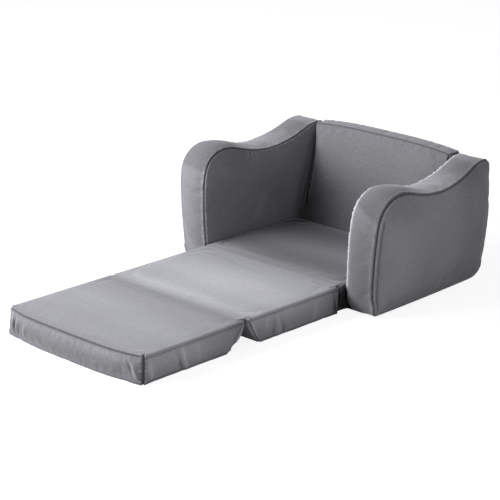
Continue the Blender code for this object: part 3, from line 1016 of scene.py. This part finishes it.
back_wrinkles = (
    ((0.205, 0.190, 0.318), (0.236, 0.180, 0.290), 0.0045, 0.0020),
    ((0.190, 0.186, 0.312), (0.226, 0.176, 0.284), 0.0045, -0.0014),
    ((-0.240, 0.180, 0.300), (-0.232, 0.128, 0.100), 0.0050, 0.0030),
    ((-0.231, 0.176, 0.290), (-0.222, 0.126, 0.100), 0.0050, -0.0030),
    ((-0.222, 0.170, 0.270), (-0.212, 0.130, 0.130), 0.0050, 0.0016),
    ((0.232, 0.160, 0.240), (0.238, 0.138, 0.150), 0.0060, 0.0020),
)
# Painted shade on the backrest, darkest low on the left, in the shadow of the left arm
back_painted_shade = (
    ((-0.24, 0.15, 0.10), (0.20, 0.30, 0.16), -1.50),
    ((-0.02, 0.18, 0.14), (0.24, 0.30, 0.15), -0.95),
    ((0.22, 0.18, 0.26), (0.14, 0.30, 0.12), -0.15),
)
back_air = (1.4, 0.010, 0.0035)
back_widest = 0.2508
back_held_foot = 0.080
back_most_padding = 0.009
back_low = (-pad_half_width, 0, arm_bottom)
back_high = (pad_half_width, back_depth, back_height)
backrest, fold_painted_shading = make_cover(
    "backrest",
    rounded_block(back_low, back_high, 0.006, 0.004),
    wrap_back,
    back_seams,
    lambda flat: flat[:, 2] < back_held_foot,
    back_air,
    back_wrinkles,
    23,
)
# A painted highlight on the top band of the backrest, where light from above falls
painted_top_highlight = smooth_step(kept(backrest.data, "pattern")[:, 2], back_height - 0.003, back_height - 0.0005)
open_for_zip(backrest, "backrest")
paint_light_and_shade(backrest, back_painted_shade, fold_painted_shading + 0.6 * painted_top_highlight)
shaped = points_of(backrest.data)
lowest_front = back_front + np.maximum(0, shaped[:, 2] - pad_thickness) * math.tan(back_lean)
beside_seat = shaped[:, 2] < pad_thickness + 0.004
shaped[beside_seat, 1] = np.maximum(shaped[beside_seat, 1], back_front)
shaped[:, 1] = soft_floor(shaped[:, 1], lowest_front - back_most_padding, 0.001)
shaped[:, 0] = within(shaped[:, 0], back_widest)
shaped[:, 2] = np.maximum(shaped[:, 2], arm_bottom)
place_points(backrest.data, shaped)
# The backrest takes a slightly darker copy of the velvet, as painted shade
dress(backrest, "backrest", "sofa_body", velvet("backrest_velvet", 0.98, (0, 0, math.pi / 2)))

# Fabric hinges: two strips of the same velvet, each sewn across the gap between two pads. A strip lies on
# both pads from side to side and bridges the valley between their rounded edges, and its sewn edges sink
# into the pile.
strip_half_width = 0.243
strip_reach = 0.026
strip_thickness = 0.0008
strip_cell = 0.002
strip_bridge = 0.012
strip_sag = 0.0006
strip_lift = 0.0005
sewn_edge_width = 0.005
sewn_edge_sink = 0.0011


def surface_of(form):
    """A cover's surface, which finds what a ray meets or what lies nearest."""
    return BVHTree.FromPolygons(points_of(form.data), [p.vertices[:] for p in form.data.polygons])


def top_heights(form, xs, ys):
    """The height of a cover's top at each place, found by looking straight down."""
    surface = surface_of(form)
    heights = np.full((len(ys), len(xs)), -1.0)
    for row, y in enumerate(ys):
        for column, x in enumerate(xs):
            hit = surface.ray_cast((x, y, 1), (0, 0, -1))[0]
            if hit:
                heights[row, column] = hit.z
    return heights


def add_hinge(name, fold_y, rear, front, material):
    """Lays a strip over the tops of two pads, and bridges what lies between them."""
    xs = np.arange(-strip_half_width, strip_half_width + strip_cell / 2, 2 * strip_cell)
    ys = np.arange(fold_y - strip_reach, fold_y + strip_reach + strip_cell / 2, strip_cell)
    tops = np.maximum(top_heights(covers[rear], xs, ys), top_heights(covers[front], xs, ys))
    bridge = int(strip_bridge / strip_cell)
    bridged = tops.copy()
    for row in range(bridge, len(ys) - bridge):
        before = tops[row - bridge : row + 1].max(axis=0)
        after = tops[row : row + bridge + 1].max(axis=0)
        bridged[row] = np.maximum(tops[row], np.minimum(before, after) - strip_sag)
    for _ in range(3):
        bridged[1:-1] = (bridged[:-2] + 2 * bridged[1:-1] + bridged[2:]) / 4
        bridged[:, 1:-1] = (bridged[:, :-2] + 2 * bridged[:, 1:-1] + bridged[:, 2:]) / 4
    sewn_edge = 1 - smooth_step(strip_reach - np.abs(ys - fold_y), 0.0, sewn_edge_width)
    lying = np.maximum(bridged, tops) + strip_lift - sewn_edge_sink * sewn_edge[:, None]
    lying = np.minimum(lying, seat_fold.z)
    cage = bmesh.new()
    rows = [[cage.verts.new((x, y, z)) for x, z in zip(xs, line)] for y, line in zip(ys, lying)]
    for lower, upper in zip(rows, rows[1:]):
        for a, b, c, d in zip(lower, lower[1:], upper[1:], upper):
            cage.faces.new((a, b, c, d))
    strip = link_mesh(name + "_strip", cage)
    thick = strip.modifiers.new("cloth thickness", "SOLIDIFY")
    thick.thickness = strip_thickness
    thick.offset = -1
    settle(strip)
    strip.data.shade_smooth()
    strip.data.materials.append(material)
    # The strips take the same painted light and shade as the pads beneath them
    paint_light_and_shade(strip, mattress_painted_shading)
    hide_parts(name + "_rear", name + "_front")
    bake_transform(strip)


strip_velvet = velvet("hinge_velvet", pad_painted_light_tone, (0, 0, math.pi / 2))
add_hinge("seat_hinge", seat_fold.y, "seat", "middle", strip_velvet)
add_hinge("end_hinge", end_fold.y, "middle", "end", strip_velvet)

# Foam cores: each cushion is filled with one block of soft foam, cut to the shape of its cover. The
# block has rounded edges and small open pores.
bodies = {"left_arm": "sofa_body", "right_arm": "sofa_body", "backrest": "sofa_body"}
bodies.update({name: pad["body"] for name, pad in pads.items()})
foam_cell = 0.007
foam_depth = 0.003


def foam_finish():
    material, tree, shader, place = new_finish("cut_foam")
    pores = node_of(tree, "ShaderNodeTexVoronoi", Vector=place, Scale=420.0)
    clouds = noise(tree, place, 9.0, 3.0)
    colour = mixed(tree, "MIX", clouds, (0.62, 0.60, 0.52, 1), (0.78, 0.77, 0.70, 1))
    tree.links.new(colour, shader.inputs["Base Color"])
    shader.inputs["Roughness"].default_value = 0.95
    rough = node_of(tree, "ShaderNodeBump", Strength=0.5, Distance=0.001, Height=pores.outputs["Distance"])
    tree.links.new(rough.outputs[0], shader.inputs["Normal"])
    return material


def keep_inside(core, cover, wall):
    """Draws a core in wherever it would come through its cover or lie nearer to it than the wall."""
    surface = surface_of(cover)
    points = points_of(core.data)
    for index, point in enumerate(points):
        place, outward = surface.find_nearest(Vector(point))[:2]
        if (Vector(point) - place).dot(outward) > -wall:
            points[index] = place - outward * wall
    place_points(core.data, points)


foam = foam_finish()
for name, body in bodies.items():
    cage = bmesh.new()
    cage.from_mesh(frame["nodes"][name + "_foam"].data)
    bmesh.ops.remove_doubles(cage, verts=cage.verts, dist=0.00002)
    core = link_mesh(name + "_foam_core", cage)
    even_cells(core, foam_cell)
    soften = core.modifiers.new("rounded edges", "SMOOTH")
    soften.iterations = 3
    settle(core)
    keep_inside(core, covers[name], foam_depth)
    core.data.shade_smooth()
    core.data.materials.clear()
    core.data.materials.append(foam)
    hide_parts(name + "_foam")
    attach(core, body)

# Small repeats: stitches, the coils of a zip and rubber dots are rows of one small bead, set out by
# Geometry Nodes.
bead_sockets = {
    "Geometry": "NodeSocketGeometry",
    "Start": "NodeSocketVector",
    "Step": "NodeSocketVector",
    "Count": "NodeSocketInt",
    "Row Step": "NodeSocketVector",
    "Rows": "NodeSocketInt",
    "Size": "NodeSocketVector",
    "Material": "NodeSocketMaterial",
}


def bead_group():
    """Rows of beads: a line of places, repeated by a second line, with a bead on each place."""
    group = bpy.data.node_groups.new("bead_rows", "GeometryNodeTree")
    for label, kind in bead_sockets.items():
        group.interface.new_socket(label, in_out="INPUT", socket_type=kind)
    group.interface.new_socket("Geometry", in_out="OUTPUT", socket_type="NodeSocketGeometry")
    given = group.nodes.new("NodeGroupInput").outputs
    row = node_of(group, "GeometryNodeMeshLine", Count=given["Count"], Offset=given["Step"])
    starts = node_of(
        group,
        "GeometryNodeMeshLine",
        Count=given["Rows"],
        Start_Location=given["Start"],
        Offset=given["Row Step"],
    )
    rows = node_of(group, "GeometryNodeInstanceOnPoints", Points=starts.outputs[0], Instance=row.outputs[0])
    places = node_of(group, "GeometryNodeRealizeInstances", Geometry=rows.outputs[0])
    bead = node_of(group, "GeometryNodeMeshUVSphere", Segments=8, Rings=5, Radius=0.5)
    smooth = group.nodes.new("GeometryNodeSetShadeSmooth")
    group.links.new(bead.outputs[0], smooth.inputs[0])
    beads = node_of(
        group,
        "GeometryNodeInstanceOnPoints",
        Points=places.outputs[0],
        Instance=smooth.outputs[0],
        Scale=given["Size"],
    )
    solid = node_of(group, "GeometryNodeRealizeInstances", Geometry=beads.outputs[0])
    finished = node_of(
        group, "GeometryNodeSetMaterial", Geometry=solid.outputs[0], Material=given["Material"]
    )
    joined = group.nodes.new("GeometryNodeJoinGeometry")
    group.links.new(given["Geometry"], joined.inputs[0])
    group.links.new(finished.outputs[0], joined.inputs[0])
    result = group.nodes.new("NodeGroupOutput")
    group.links.new(joined.outputs[0], result.inputs[0])
    return group


bead_rows = bead_group()


def add_beads(piece, **values):
    """Sets out beads of one material on a piece, in one row or in some rows."""
    beads = piece.modifiers.new("beads", "NODES")
    beads.node_group = bead_rows
    given = {"rows": 1, "row_step": (0.0, 0.0, 0.0), **values}
    for socket in bead_rows.interface.items_tree:
        label = socket.name.lower().replace(" ", "_")
        if label in given:
            beads[socket.identifier] = given[label]


def two_tones(tree, colour, share, spread):
    """A colour that wanders between a darker and a lighter tone of itself."""
    darker = tuple((1 - spread[0]) * part for part in colour) + (1,)
    lighter = tuple((1 + spread[1]) * part for part in colour) + (1,)
    return mixed(tree, "MIX", share, darker, lighter)


def woven(name, colour, threads):
    """A plain weave: crossing sets of threads, with slight changes of tone."""
    material, tree, shader, place = new_finish(name)
    heights = []
    for direction in ("X", "Y", "Z"):
        wave = node_of(tree, "ShaderNodeTexWave", Vector=place, Scale=threads, Distortion=0.4)
        wave.bands_direction = direction
        heights.append(wave.outputs["Fac"])
    weave = mixed(tree, "DIFFERENCE", 1.0, mixed(tree, "DIFFERENCE", 1.0, *heights[:2]), heights[2])
    tone = two_tones(tree, colour, noise(tree, place, 24.0, 3.0), (0.25, 0.3))
    shown = mixed(tree, "MIX", 0.25, tone, mixed(tree, "MULTIPLY", 1.0, tone, weave))
    tree.links.new(shown, shader.inputs["Base Color"])
    shader.inputs["Roughness"].default_value = 0.9
    shader.inputs["Specular IOR Level"].default_value = 0.2
    relief = node_of(tree, "ShaderNodeBump", Strength=0.5, Distance=0.0003, Height=weave)
    tree.links.new(relief.outputs[0], shader.inputs["Normal"])
    return material


def solid_finish(name, colour, roughness, metallic=0.0):
    """Nylon, rubber or painted metal: one colour with faint wear."""
    material, tree, shader, place = new_finish(name)
    worn = two_tones(tree, colour, noise(tree, place, 300.0, 3.0), (0.15, 0.15))
    tree.links.new(worn, shader.inputs["Base Color"])
    shader.inputs["Roughness"].default_value = roughness
    shader.inputs["Metallic"].default_value = metallic
    return material


tape_cloth = woven("zip_tape_cloth", (0.10, 0.10, 0.115), 900.0)
nylon = solid_finish("zip_coil_nylon", (0.09, 0.09, 0.10), 0.45)
thread = solid_finish("sewing_thread", (0.16, 0.16, 0.18), 0.8)
painted = solid_finish("painted_zip_metal", (0.12, 0.12, 0.13), 0.35, 0.6)
rubber = solid_finish("rubber_dots", (0.05, 0.05, 0.05), 0.7)


def add_block(cage, low, high, rounding):
    """Adds a rounded block between two corners to a cage."""
    size = Vector(high) - Vector(low)
    centre = (Vector(high) + Vector(low)) / 2
    placing = Matrix.Translation(centre) @ Matrix.Diagonal((*size, 1))
    made = bmesh.ops.create_cube(cage, size=1, matrix=placing)
    edges = {edge for vert in made["verts"] for edge in vert.link_edges}
    bmesh.ops.bevel(cage, geom=list(edges), offset=rounding, segments=2, profile=0.5, affect="EDGES")


# Zips: each cover closes with a coil zip where it doesn't show. Two woven tapes carry the nylon coils
# and are stitched to the cover, and a painted slider with a pull tab rests at one end.
zip_half_width = 0.0039
zip_gap = 0.0004
cord_edge = 0.0014
cord_sink = 0.0002
cord_rise = 0.0004
tape_low = -0.0011
tape_high = -0.0006
stop_inset = 0.0015
stop_half_length = 0.0012
stop_half_width = 0.0019
stop_top = 0.0004
coil_inset = 0.003
coil_pitch = 0.0016
coil_place = 0.0005
coil_height = -0.0001
coil_bead = (0.0011, 0.0026, 0.0011)
stitch_pitch = 0.0034
stitch_place = 0.0028
stitch_bead = (0.0026, 0.0005, 0.0004)
slider_length = 0.0075
slider_half_width = 0.0029
slider_wall = 0.0006
plate_low = 0.0005
plate_high = 0.0010
flange_low = -0.0004
post_near = 0.0016
post_far = 0.0026
post_half_width = 0.0008
post_top = 0.0021
bridge_low = 0.0017
bridge_high = 0.0023
tab_half_width = 0.0028
tab_low = 0.0011
tab_high = 0.0016
fine_rounding = 0.0002
worn_rounding = 0.00012
cord_rounding = 0.0003


def add_zip(name, body):
    place, length = zip_place(name)
    half = length / 2
    cage = bmesh.new()
    for side in (-1, 1):
        low_y, high_y = sorted((side * zip_gap, side * zip_half_width))
        add_block(cage, (-half, low_y, tape_low), (half, high_y, tape_high), fine_rounding)
        low_y, high_y = sorted((side * zip_gap, side * cord_edge))
        cord_low = (-half, low_y, tape_high - cord_sink)
        add_block(cage, cord_low, (half, high_y, tape_high + cord_rise), cord_rounding)
    for end in (-1, 1):
        stop = end * (half - stop_inset)
        stop_low = (stop - stop_half_length, -stop_half_width, tape_high)
        add_block(cage, stop_low, (stop + stop_half_length, stop_half_width, stop_top), cord_rounding)
    zip_piece = link_mesh(name + "_coil_zip", cage)
    zip_piece.data.materials.append(tape_cloth)
    run = half - coil_inset
    for side in (-1, 1):
        add_beads(
            zip_piece,
            material=nylon,
            start=(-run + coil_pitch / 2 * (side > 0), side * coil_place, coil_height),
            step=(coil_pitch, 0.0, 0.0),
            count=int(2 * run / coil_pitch),
            size=coil_bead,
        )
        add_beads(
            zip_piece,
            material=thread,
            start=(-run, side * stitch_place, tape_high),
            step=(stitch_pitch, 0.0, 0.0),
            count=int(2 * run / stitch_pitch),
            size=stitch_bead,
        )
    settle(zip_piece)
    zip_piece.data.transform(place)
    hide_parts(name + "_zip")
    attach(zip_piece, body)
    return place


def pull_tab(cage, start, length, half_width, low, high):
    """A flat tab with a rounded end and a slot, lying along the zip."""
    column_shares = (0, 0.12, 0.30, 0.55, 0.86, 1)
    row_shares = (-1, -0.42, 0.42, 1)
    width_shares = (0.62, 0.86, 1, 1, 0.96, 0.66)
    slot = (3, 1)
    grid = []
    for share, narrow in zip(column_shares, width_shares):
        across = half_width * narrow
        grid.append([cage.verts.new((start + length * share, across * row, low)) for row in row_shares])
    faces = []
    for column, (near, far) in enumerate(zip(grid, grid[1:])):
        for row in range(3):
            if (column, row) != slot:
                faces.append(cage.faces.new((near[row], far[row], far[row + 1], near[row + 1])))
    raised = bmesh.ops.extrude_face_region(cage, geom=faces, use_keep_orig=True)["geom"]
    lifted = [part for part in raised if isinstance(part, bmesh.types.BMVert)]
    bmesh.ops.translate(cage, verts=lifted, vec=(0, 0, high - low))


def add_slider(name, body, place):
    points = points_of(frame["nodes"][name + "_slider"].data)
    back = np.array(place.inverted())
    reach = (points @ back[:3, :3].T + back[:3, 3])[:, 0]
    inward = 1 if abs(reach.min()) > abs(reach.max()) else -1
    outer_end = reach.min() if inward > 0 else reach.max()
    rear, front = sorted((outer_end, outer_end + inward * slider_length))
    middle = (rear + front) / 2
    wall_inside = slider_half_width - slider_wall
    blocks = (
        (rear, front, -slider_half_width, slider_half_width, plate_low, plate_high),
        (rear, front, -slider_half_width, -wall_inside, flange_low, plate_high),
        (rear, front, wall_inside, slider_half_width, flange_low, plate_high),
        (middle - post_far, middle - post_near, -post_half_width, post_half_width, plate_high, post_top),
        (middle + post_near, middle + post_far, -post_half_width, post_half_width, plate_high, post_top),
        (middle - post_far, middle + post_far, -post_half_width, post_half_width, bridge_low, bridge_high),
    )
    cage = bmesh.new()
    for x_low, x_high, y_low, y_high, z_low, z_high in blocks:
        add_block(cage, (x_low, y_low, z_low), (x_high, y_high, z_high), fine_rounding)
    tab_length = np.ptp(reach) - slider_length / 2
    pull_tab(cage, middle, inward * tab_length, tab_half_width, tab_low, tab_high)
    bmesh.ops.recalc_face_normals(cage, faces=cage.faces)
    slider = link_mesh(name + "_zip_slider", cage)
    edges = slider.modifiers.new("worn edges", "BEVEL")
    edges.width = worn_rounding
    edges.segments = 2
    edges.limit_method = "ANGLE"
    settle(slider)
    slider.data.shade_smooth()
    slider.data.materials.append(painted)
    slider.data.transform(place)
    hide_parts(name + "_slider")
    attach(slider, body)


for name, body in bodies.items():
    add_slider(name, body, add_zip(name, body))

# Base cloth: a thin woven cloth under the arms, the backrest and the seat section. Its edge is folded
# under and stitched, and rows of small rubber dots keep it from sliding on the floor.
cloth_low, cloth_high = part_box("base_cloth")
cloth_corner = 0.030
cloth_fold = 0.0008
cloth_sheet = 0.0005
hem_width = 0.012
hem_stitch_inset = 0.003
hem_stitch_pitch = 0.0042
hem_stitch_length = 0.0030
hem_stitch_width = 0.0006
hem_stitch_height = 0.0004
dot_pitch = 0.016
dot_bead = (0.0036, 0.0036, 0.0008)
under_cloth = 0.0004


def rounded_ring(cage, inset, drop):
    """A rounded rectangle of points, a little inside the edge of the base cloth and below its top."""
    radius = cloth_corner - inset
    ring = []
    for number, (sign_x, sign_y) in enumerate(((1, 1), (-1, 1), (-1, -1), (1, -1))):
        x = (cloth_high.x if sign_x > 0 else cloth_low.x) - sign_x * cloth_corner
        y = (cloth_high.y if sign_y > 0 else cloth_low.y) - sign_y * cloth_corner
        for step in range(9):
            angle = math.pi / 2 * (number + step / 8)
            place = (x + radius * math.cos(angle), y + radius * math.sin(angle), cloth_high.z - drop)
            ring.append(cage.verts.new(place))
    return ring


cage = bmesh.new()
edge = rounded_ring(cage, 0, 0)
under = rounded_ring(cage, 0, cloth_fold)
hem_end = rounded_ring(cage, hem_width, cloth_fold)
floor_side = rounded_ring(cage, hem_width, cloth_sheet)
cage.faces.new(edge)
cage.faces.new(list(reversed(floor_side)))
for outer, inner in ((edge, under), (under, hem_end), (hem_end, floor_side)):
    for a, b, c, d in zip(outer, inner, inner[1:] + inner[:1], outer[1:] + outer[:1]):
        cage.faces.new((a, b, c, d))
bmesh.ops.recalc_face_normals(cage, faces=cage.faces)
base = link_mesh("hemmed_base_cloth", cage)
base.data.materials.append(woven("base_weave", (0.045, 0.045, 0.05), 500.0))
span = cloth_high - cloth_low
centre = (cloth_high + cloth_low) / 2
for sign in (-1, 1):
    for axis in (0, 1):
        start = [centre.x, centre.y, under_cloth]
        start[axis] = cloth_low[axis] + cloth_corner
        start[1 - axis] += sign * (span[1 - axis] / 2 - (hem_width - hem_stitch_inset))
        step = [0.0, 0.0, 0.0]
        step[axis] = hem_stitch_pitch
        size = [hem_stitch_width, hem_stitch_width, hem_stitch_height]
        size[axis] = hem_stitch_length
        count = int((span[axis] - 2 * cloth_corner) / hem_stitch_pitch)
        add_beads(base, material=thread, start=tuple(start), step=tuple(step), count=count, size=tuple(size))
dots_x = int((span.x - 2 * cloth_corner) / dot_pitch)
dots_y = int((span.y - 2 * cloth_corner) / dot_pitch)
add_beads(
    base,
    material=rubber,
    start=(-dots_x / 2 * dot_pitch, cloth_low.y + span.y / 2 - dots_y / 2 * dot_pitch, under_cloth),
    step=(dot_pitch, 0.0, 0.0),
    count=dots_x + 1,
    size=dot_bead,
    rows=dots_y + 1,
    row_step=(0.0, dot_pitch, 0.0),
)
settle(base)
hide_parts("base_cloth")
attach(base, "sofa_body")

# Floor and light: a plain pale studio, with a soft lamp in front, a larger one on the left and above,
# and a weak one on the right. The floor looks nearly white to the camera, and keeps a faint shadow.
plane = bmesh.new()
bmesh.ops.create_grid(plane, x_segments=1, y_segments=1, size=20)
floor = link_mesh("floor", plane)
paper = bpy.data.materials.new("pale_floor")
paper.use_nodes = True
tree = paper.node_tree
matt = tree.nodes["Principled BSDF"]
matt.inputs["Base Color"].default_value = (0.80, 0.80, 0.80, 1)
matt.inputs["Roughness"].default_value = 0.9
faint = node_of(tree, "ShaderNodeBsdfDiffuse", Color=(0.34, 0.34, 0.34, 1))
glow = node_of(tree, "ShaderNodeEmission", Strength=0.86)
both = tree.nodes.new("ShaderNodeAddShader")
tree.links.new(faint.outputs[0], both.inputs[0])
tree.links.new(glow.outputs[0], both.inputs[1])
seen = tree.nodes.new("ShaderNodeLightPath")
either = tree.nodes.new("ShaderNodeMixShader")
tree.links.new(seen.outputs["Is Camera Ray"], either.inputs[0])
tree.links.new(matt.outputs[0], either.inputs[1])
tree.links.new(both.outputs[0], either.inputs[2])
tree.links.new(either.outputs[0], tree.nodes["Material Output"].inputs["Surface"])
floor.data.materials.append(paper)

world = bpy.data.worlds.new("studio")
scene.world = world
world.use_nodes = True
tree = world.node_tree
background = tree.nodes["Background"]
background.inputs["Color"].default_value = (1, 1, 1, 1)
background.inputs["Strength"].default_value = 0.26
white = tree.nodes.new("ShaderNodeBackground")
white.inputs["Strength"].default_value = 1.0
rays = tree.nodes.new("ShaderNodeLightPath")
shown = tree.nodes.new("ShaderNodeMath")
shown.operation = "MAXIMUM"
tree.links.new(rays.outputs["Is Camera Ray"], shown.inputs[0])
tree.links.new(rays.outputs["Is Glossy Ray"], shown.inputs[1])
choice = tree.nodes.new("ShaderNodeMixShader")
tree.links.new(shown.outputs[0], choice.inputs[0])
tree.links.new(background.outputs[0], choice.inputs[1])
tree.links.new(white.outputs[0], choice.inputs[2])
tree.links.new(choice.outputs[0], tree.nodes["World Output"].inputs["Surface"])


def add_lamp(name, place, aim, size, power):
    """A square soft lamp that looks at a point."""
    lamp = bpy.data.objects.new(name, bpy.data.lights.new(name, "AREA"))
    lamp.data.shape = "SQUARE"
    lamp.data.size = size
    lamp.data.energy = power
    lamp.location = place
    lamp.rotation_euler = (Vector(place) - Vector(aim)).to_track_quat("Z", "Y").to_euler()
    scene.collection.objects.link(lamp)


add_lamp("front_lamp", (-1.3, -3.2, 1.3), (-0.1, -0.3, 0.1), 1.1, 62)
add_lamp("left_lamp", (-2.2, -2.0, 2.2), (0, -0.5, 0), 1.7, 108)
add_lamp("side_lamp", (2.6, -1.2, 1.0), (0.2, -0.3, 0.1), 1.4, 10)
scene.view_settings.view_transform = "Standard"
